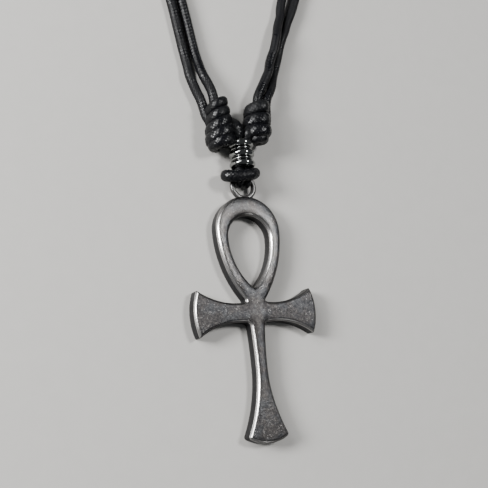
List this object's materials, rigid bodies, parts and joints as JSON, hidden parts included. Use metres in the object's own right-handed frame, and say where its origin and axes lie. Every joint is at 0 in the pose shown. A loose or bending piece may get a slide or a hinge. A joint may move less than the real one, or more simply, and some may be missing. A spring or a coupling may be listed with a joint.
{
  "type": "ankh pendant on a cord necklace",
  "caption": "Cast metal ankh with an eyelet, hung from a doubled black waxed cord through stacked metal rings, with sliding knots that adjust the neck loop.",
  "frame": {"origin": "the crossing of the crossbar and the stem, on the flat back face", "axes": "+Y along the stem towards the loop, +X along the crossbar to the right as seen from the front, +Z out of the face"},
  "size_m": [0.1035, 0.247, 0.0057],
  "materials": {
    "antique_metal": "antiqued gunmetal plating with polished bevels",
    "dark_chrome": "polished dark chrome",
    "waxed_cord": "braided black cord with a wax gloss"
  },
  "bodies": {
    "root": {"ankh": "antique_metal", "bead_ring_bottom": "dark_chrome", "bead_ring_middle": "dark_chrome", "bead_ring_top": "dark_chrome", "spacer_ring_lower": "dark_chrome", "spacer_ring_upper": "dark_chrome", "pendant_cord": "waxed_cord", "left_knot": "waxed_cord", "right_knot": "waxed_cord", "neck_strand_inner": "waxed_cord", "neck_strand_outer": "waxed_cord"}
  },
  "joints": []
}
